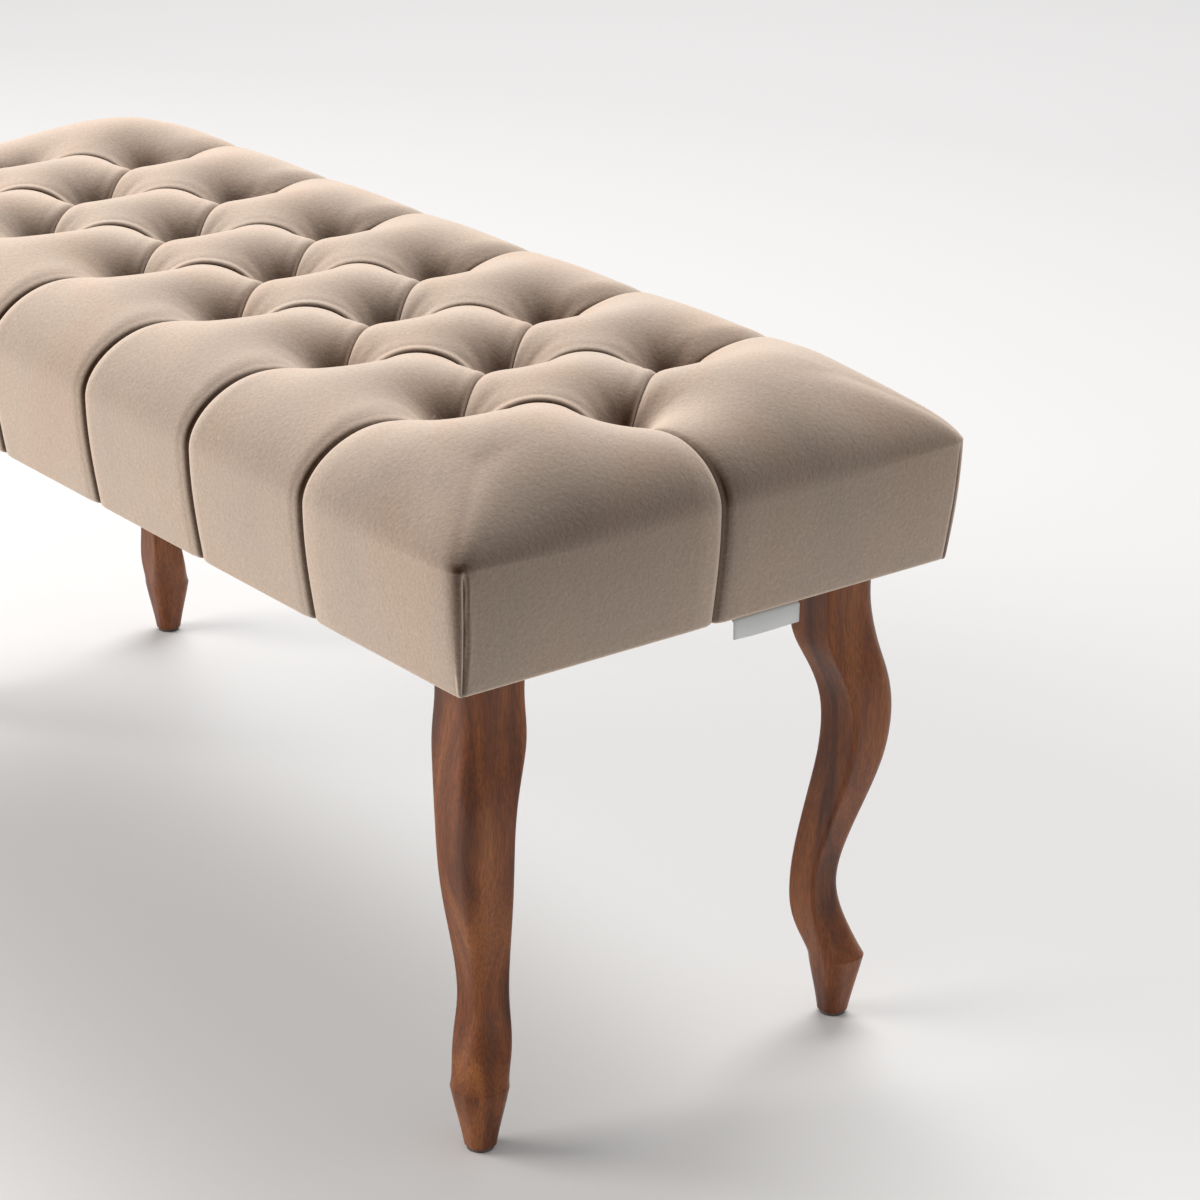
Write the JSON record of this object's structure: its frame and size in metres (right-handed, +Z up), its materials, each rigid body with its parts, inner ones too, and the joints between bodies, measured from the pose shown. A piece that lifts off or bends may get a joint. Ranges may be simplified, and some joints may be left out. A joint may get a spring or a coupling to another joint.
{
  "type": "upholstered bench",
  "caption": "Long backless bench with a diamond-tufted velvet seat, pleated sides and curved cabriole legs of stained wood.",
  "frame": {"origin": "on the floor, under the middle of the seat", "axes": "+X along the seat's length towards the right end, +Y across it towards the back, +Z up"},
  "size_m": [1.017, 0.417, 0.4845],
  "materials": {
    "velvet": "short pile velvet, taupe",
    "polyester_wadding": "white fibre wadding",
    "upholstery_foam": "open cell foam, pale yellow",
    "twine": "waxed twine",
    "zinc_steel": "bright zinc plated",
    "plywood": "raw plywood",
    "pine": "planed pine",
    "stained_beech": "brown stain under satin lacquer",
    "felt": "pressed felt",
    "staple_wire": "galvanised wire",
    "black_nonwoven": "thin black nonwoven cloth",
    "white_tape": "folded satin tape, blank"
  },
  "bodies": {
    "root": {"back_rail": "pine", "board_screws": "zinc_steel", "care_tag": "white_tape", "corner_block_back_left": "plywood", "corner_block_back_right": "plywood", "corner_block_front_left": "plywood", "corner_block_front_right": "plywood", "corner_block_screws": "zinc_steel", "cover": "velvet", "cover_staples": "staple_wire", "dust_cover": "black_nonwoven", "dust_cover_staples": "staple_wire", "felt_glide_back_left": "felt", "felt_glide_back_right": "felt", "felt_glide_front_left": "felt", "felt_glide_front_right": "felt", "foam_pad": "upholstery_foam", "frame_screws": "zinc_steel", "front_rail": "pine", "hanger_bolts": "zinc_steel", "left_cross_rail": "pine", "left_end_rail": "pine", "leg_back_left": "stained_beech", "leg_back_right": "stained_beech", "leg_front_left": "stained_beech", "leg_front_right": "stained_beech", "right_cross_rail": "pine", "right_end_rail": "pine", "seat_board": "plywood", "tee_nuts": "zinc_steel", "tuft_buttons": "velvet", "tuft_twine": "twine", "twine_washers": "zinc_steel", "wadding": "polyester_wadding"}
  },
  "joints": []
}
